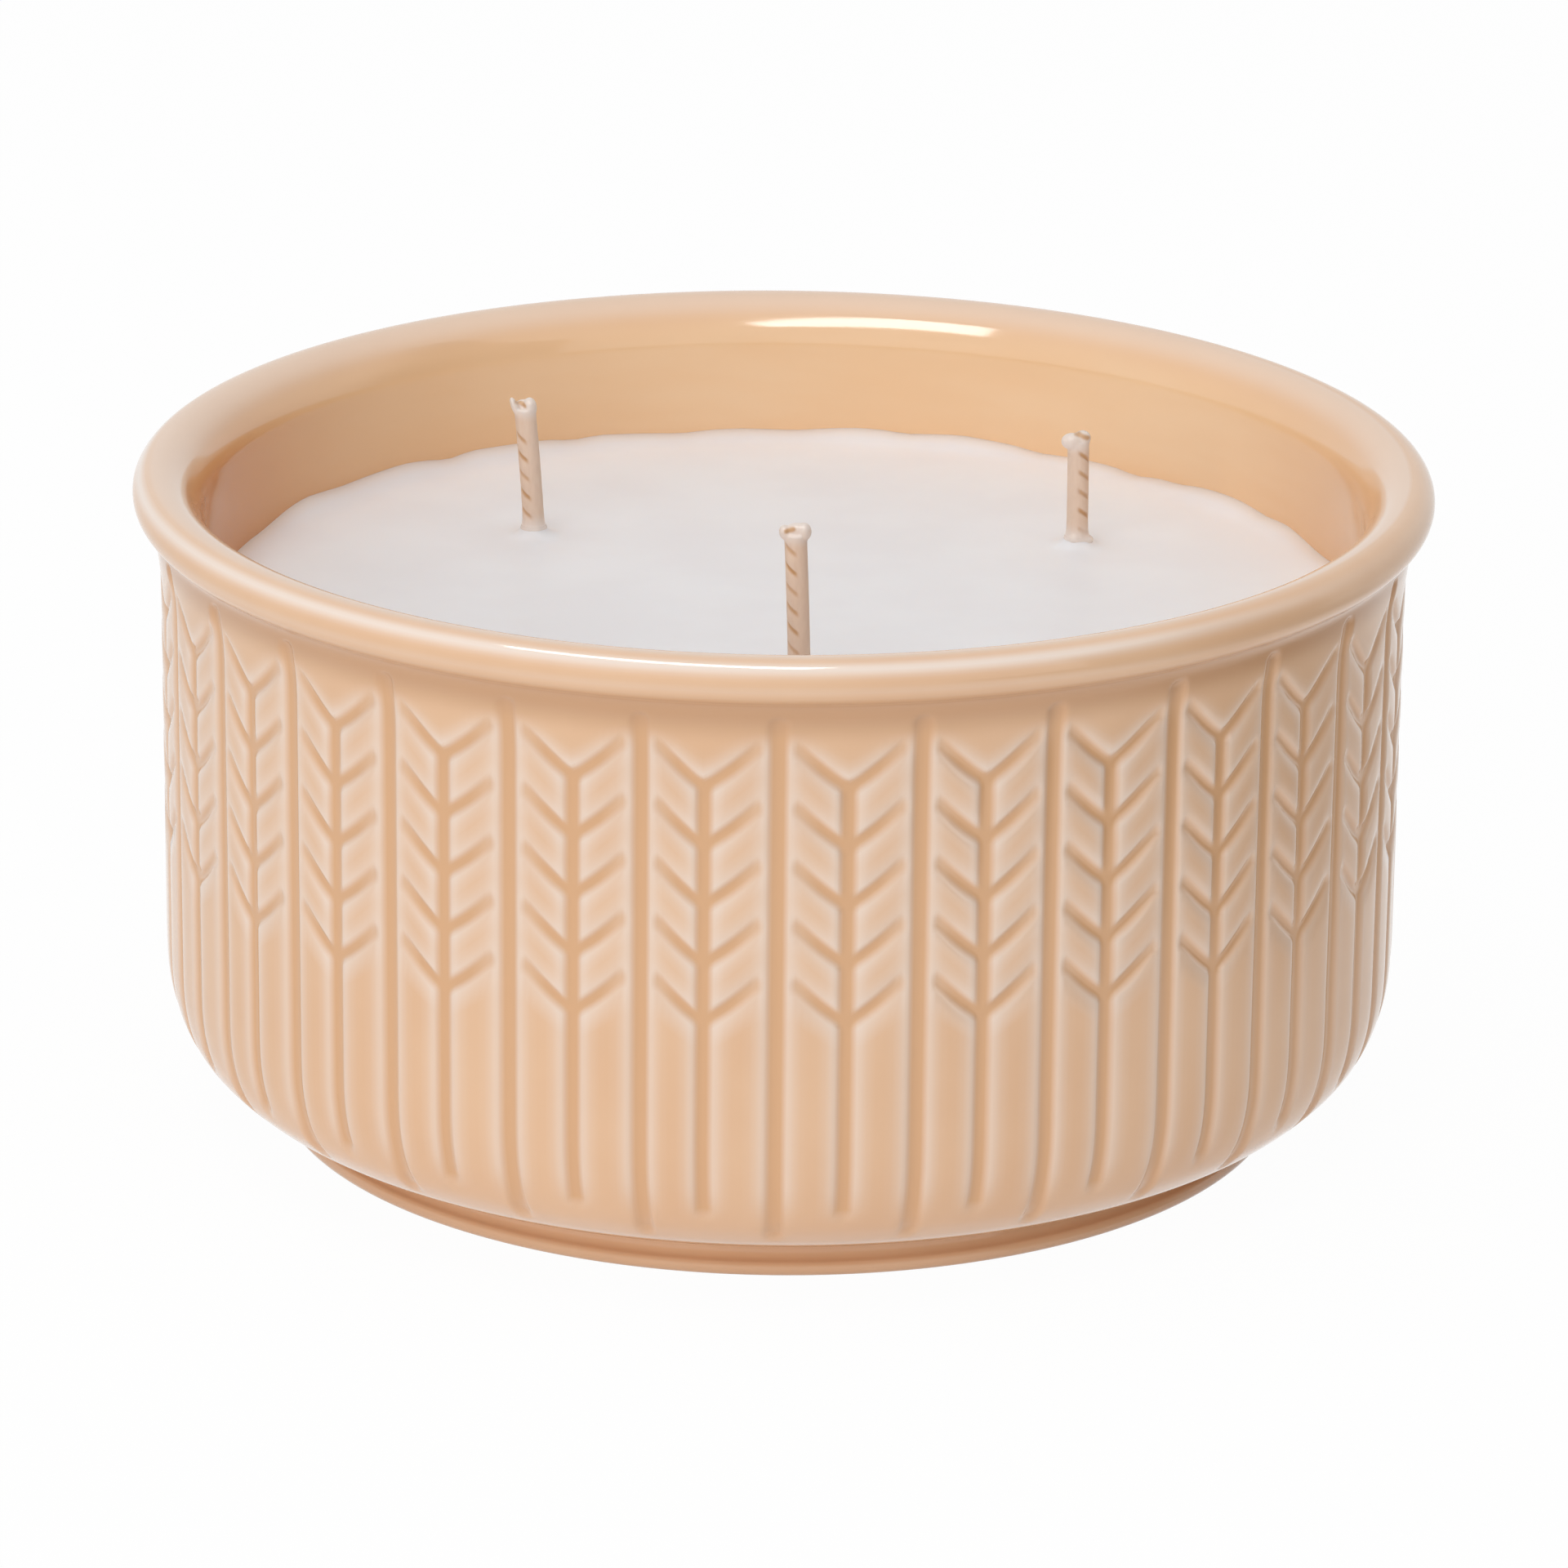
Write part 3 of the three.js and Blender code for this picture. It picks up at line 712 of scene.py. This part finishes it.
class Finish:
    """A material, or the world, made of nodes."""

    def __init__(self, owner):
        owner.use_nodes = True
        self.owner = owner
        self.tree = owner.node_tree
        self.tree.nodes.clear()

    def add(self, kind, settings=None, values=None, out=0):
        """A node with its settings and the values or links of its sockets; gives one of its outputs."""
        node = self.tree.nodes.new(kind)
        for name, value in (settings or {}).items():
            setattr(node, name, value)
        for name, value in (values or {}).items():
            if isinstance(value, Wire):
                self.tree.links.new(value.socket, node.inputs[name])
            else:
                node.inputs[name].default_value = value
        return Wire(self, node.outputs[out]) if len(node.outputs) else None

    def mix(self, factor, first, second):
        return self.add("ShaderNodeMix", {"data_type": "RGBA"}, {0: factor, 6: first, 7: second}, 2)

    def marks(self, *names):
        """Values that a piece's points carry, by name."""
        return [self.add("ShaderNodeAttribute", {"attribute_name": name}, out="Fac") for name in names]

    def place(self):
        return self.add("ShaderNodeTexCoord", out="Object")

    def noise(self, size, detail=2.0, stretch=(1, 1, 1)):
        """Even noise from 0 to 1, with grains of a size in millimetres."""
        point = self.add("ShaderNodeMapping", None, {"Vector": self.place(), "Scale": stretch})
        values = {"Vector": point, "Scale": 1 / (size * MM), "Detail": detail}
        return self.add("ShaderNodeTexNoise", None, values)

    def bump(self, height, millimetres):
        values = {"Height": height, "Distance": millimetres * MM, "Strength": 1.0}
        return self.add("ShaderNodeBump", None, values)

    def surface(self, **values):
        """Ends the nodes with a surface that takes these values, and gives the material."""
        names = {name.replace("_", " "): value for name, value in values.items()}
        shader = self.add("ShaderNodeBsdfPrincipled", None, names)
        self.add("ShaderNodeOutputMaterial", None, {"Surface": shader})
        return self.owner


def new_finish(name):
    return Finish(bpy.data.materials.new(name))


def dress(piece, material):
    piece.data.materials.clear()
    piece.data.materials.append(material)


def glaze():
    f = new_finish("peach_glaze")
    sunk, thin_glaze_and_sheen, pooled_and_shaded, inside, deep, bare = f.marks("sunk", "thin_glaze_and_sheen", "pooled_and_shaded", "inside", "deep", "bare")
    cloud = f.noise(16, 3.0).between(0.3, 0.7)
    flow = f.noise(11, 3.0, (0.35, 0.35, 1.6)).between(0.3, 0.7)
    facing = f.add("ShaderNodeLayerWeight", None, {"Blend": 0.5}, "Facing")
    land = f.mix(cloud, tone(233, 191, 153), tone(230, 186, 147))
    inner = f.mix(flow, tone(242, 205, 164), tone(240, 199, 155))
    # Painted shade inside: darker and deeper orange on the left and at grazing angles, the grazing part
    # partly the longer way through the glaze
    inner = f.mix(deep * 0.5, inner, tone(228, 176, 124))
    inner = f.mix(facing.between(0.25, 0.8) * (deep * 0.55 + 0.4), inner, tone(216, 142, 80))
    colour = f.mix(inside, land, inner)
    # Pale where the glaze thins over edges, with a painted sheen on the lip and throat, less at the right
    # where shade is painted
    colour = f.mix(thin_glaze_and_sheen, colour, tone(243, 226, 213))
    colour = f.mix(sunk, colour, tone(222, 174, 130))
    # Darker where the glaze pools, and painted shade under the lip and in the cove
    colour = f.mix(pooled_and_shaded, colour, tone(206, 160, 121))
    colour = f.mix(bare, colour, tone(226, 205, 182))
    wave = f.bump(f.noise(9, 1.0), 0.02)
    return f.surface(Base_Color=colour, Roughness=bare * 0.5 + 0.09, IOR=1.55, Normal=wave)


def wax_finish():
    f = new_finish("candle_wax")
    rim, = f.marks("rim")
    cloud = f.noise(14, 3.0)
    grain = f.noise(0.7, 2.0)
    colour = f.mix(cloud.between(0.3, 0.7), tone(243, 242, 244), tone(240, 238, 240))
    # Painted light, partly the glaze through the thinner wax: a warm, pale tint at the edge
    colour = f.mix(rim * 0.55, colour, tone(250, 232, 216))
    normal = f.bump(cloud + grain * 0.03, 0.12)
    return f.surface(Base_Color=colour, Roughness=0.42, IOR=1.44, Normal=normal, Subsurface_Weight=0.25,
                     Subsurface_Radius=(1.0, 0.85, 0.75), Subsurface_Scale=0.004)


def cotton():
    f = new_finish("waxed_cotton")
    slit, core, waxed = f.marks("slit", "core", "waxed")
    thread = f.noise(0.35, 2.0, (1, 1, 0.25))
    colour = f.mix(thread, tone(232, 208, 188), tone(222, 195, 174))
    colour = f.mix(slit * 0.9, colour, tone(196, 148, 98))
    colour = f.mix(waxed * 0.75, colour, tone(235, 224, 217))
    colour = f.mix(core * 0.85, colour, tone(196, 150, 100))
    normal = f.bump(thread, 0.05)
    return f.surface(Base_Color=colour, Roughness=0.6 - waxed * 0.3, Normal=normal, Subsurface_Weight=0.15,
                     Subsurface_Radius=(1.0, 0.8, 0.6), Subsurface_Scale=0.001)


def tinplate():
    f = new_finish("stamped_tinplate")
    streak = f.noise(0.6, 3.0, (1, 12, 1))
    colour = f.mix(streak, tone(188, 189, 192), tone(170, 171, 175))
    grain = f.bump(streak, 0.01)
    return f.surface(Base_Color=colour, Metallic=1.0, Roughness=streak * 0.15 + 0.22, Normal=grain)


def foam():
    f = new_finish("sticker_foam")
    cells = f.noise(0.5, 2.0)
    colour = f.mix(cells, tone(238, 236, 230), tone(224, 221, 214))
    return f.surface(Base_Color=colour, Roughness=0.9, Normal=f.bump(cells, 0.08))


# Pieces

glazed = bowl()
dress(glazed, glaze())
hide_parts("bowl")
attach(glazed, "root")

poured = wax()
dress(poured, wax_finish())
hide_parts("wax_fill")
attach(poured, "root")

braid = cotton()
for wick_name, place in WICKS.items():
    piece = wick(wick_name, **place)
    dress(piece, braid)
    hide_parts(f"wick_{wick_name}")
    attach(piece, "root")

metal, pad = tinplate(), foam()
for name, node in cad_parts.items():
    if "sustainer" in name:
        dress(node, metal)
    elif "sticker" in name:
        dress(node, pad)


# Studio, in metres; the camera's angles are in radians

ELEVATION = 0.33861
ROLL = 0.010254
DISTANCE = 0.831637
AIM = Vector((0, 0, 0.033))
FOCAL_LENGTH = 174.53
LENS_SHIFT = (0.00216, 0.01109)
BOWL_MIDDLE = (0, 0, 0.04)
STRIP_SPOT = (-0.049, -0.087)
SKY_STRENGTH = 0.36
FLOOR_SHOWN = 0.97
FLOOR_SIDE = 8

# A card at the right, low and then upright, that only reflections see: points across and up, and depths,
# in millimetres, and where it grows dark across and pale again towards the back, in metres
CARD = ((100, 2), (420, 2), (420, 460))
CARD_DEPTH = (-360, 130)
CARD_DARK = 0.15
CARD_DARK_ACROSS = (0.1, 0.19)
CARD_PALE_BEHIND = (-0.03, 0.13)

back = Vector((0, -math.cos(ELEVATION), math.sin(ELEVATION)))
right = Vector((1, 0, 0))
upward = Vector((0, math.sin(ELEVATION), math.cos(ELEVATION)))
side = math.cos(ROLL) * right + math.sin(ROLL) * upward
top = -math.sin(ROLL) * right + math.cos(ROLL) * upward
lens = bpy.data.cameras.new("camera")
lens.sensor_width = 36
lens.lens = FOCAL_LENGTH
lens.shift_x, lens.shift_y = LENS_SHIFT
lens.clip_start = 0.01
lens.clip_end = 20
camera = bpy.data.objects.new("camera", lens)
turned_to_bowl = Matrix((side, top, back)).transposed().to_4x4()
camera.matrix_world = Matrix.Translation(AIM + back * DISTANCE) @ turned_to_bowl
bpy.context.scene.collection.objects.link(camera)
bpy.context.scene.camera = camera


def seen_directly(f):
    """1 for the rays that show a surface, and 0 for those that only carry its light elsewhere."""
    outputs = f.add("ShaderNodeLightPath").socket.node.outputs
    kinds = ("Camera", "Glossy", "Transmission")
    seen, mirrored, passed = [Wire(f, outputs[f"Is {kind} Ray"]) for kind in kinds]
    return seen.math("MAXIMUM", seen.math("MAXIMUM", seen, mirrored), passed)


def softbox(name, place, aim, size, strength, turn=0):
    """A lit panel with a brightness that is given as seen, where 1 is white."""
    light = bpy.data.lights.new(name, "AREA")
    light.shape = "RECTANGLE"
    light.size, light.size_y = size
    light.energy = strength * math.pi * size[0] * size[1]
    lamp = bpy.data.objects.new(name, light)
    way = Vector(aim) - Vector(place)
    lamp.matrix_world = (Matrix.Translation(place) @ way.to_track_quat("-Z", "Y").to_matrix().to_4x4()
                         @ Matrix.Rotation(math.radians(turn), 4, "Z"))
    bpy.context.scene.collection.objects.link(lamp)
    return lamp


softbox("top_softbox", (-0.1, -0.05, 1.2), BOWL_MIDDLE, (1.0, 1.0), 1.95).visible_glossy = False
softbox("front_softbox", (-0.58, -1.33, 0.45), BOWL_MIDDLE, (1.2, 0.6), 3.9).visible_glossy = False
strip = softbox("strip", (*STRIP_SPOT, 0.25), (*STRIP_SPOT, 0.05), (0.142, 0.034), 12, -22.5)
strip.visible_diffuse = False

sky = bpy.data.worlds.new("studio")
bpy.context.scene.world = sky
f = Finish(sky)
strength = f.add("ShaderNodeMix", {"data_type": "FLOAT"}, {0: seen_directly(f), 2: SKY_STRENGTH, 3: 1.0})
light = f.add("ShaderNodeBackground", None, {"Color": (1, 1, 1, 1), "Strength": strength})
f.add("ShaderNodeOutputWorld", None, {"Surface": light})

begin()
bpy.ops.mesh.primitive_plane_add(size=FLOOR_SIDE)
floor = named("floor")
f = new_finish("pale_floor")
matt = f.add("ShaderNodeBsdfDiffuse", None, {"Color": (0.92, 0.92, 0.92, 1)})
white = f.add("ShaderNodeEmission", None, {"Color": (1, 1, 1, 1), "Strength": 1.0})
shown = f.add("ShaderNodeMixShader", None, {0: seen_directly(f) * FLOOR_SHOWN, 1: matt, 2: white})
f.add("ShaderNodeOutputMaterial", None, {"Surface": shown})
dress(floor, f.owner)

begin()
bpy.ops.mesh.primitive_grid_add(x_subdivisions=1, y_subdivisions=2)
card = named("dark_card")
put(card, [(across, deep, up) for across, up in CARD for deep in CARD_DEPTH])
f = new_finish("card_grey")
across, deep = [f.add("ShaderNodeSeparateXYZ", None, {"Vector": f.place()}, way) for way in "XY"]
dark = across.between(*CARD_DARK_ACROSS) * (1 - deep.between(*CARD_PALE_BEHIND))
pale, grey = [f.add("ShaderNodeEmission", None, {"Strength": strength}) for strength in (1.0, CARD_DARK)]
shown = f.add("ShaderNodeMixShader", None, {0: dark, 1: pale, 2: grey})
f.add("ShaderNodeOutputMaterial", None, {"Surface": shown})
dress(card, f.owner)
for part in ("camera", "diffuse", "transmission", "shadow"):
    setattr(card, f"visible_{part}", False)

bpy.context.scene.view_settings.view_transform = "Standard"
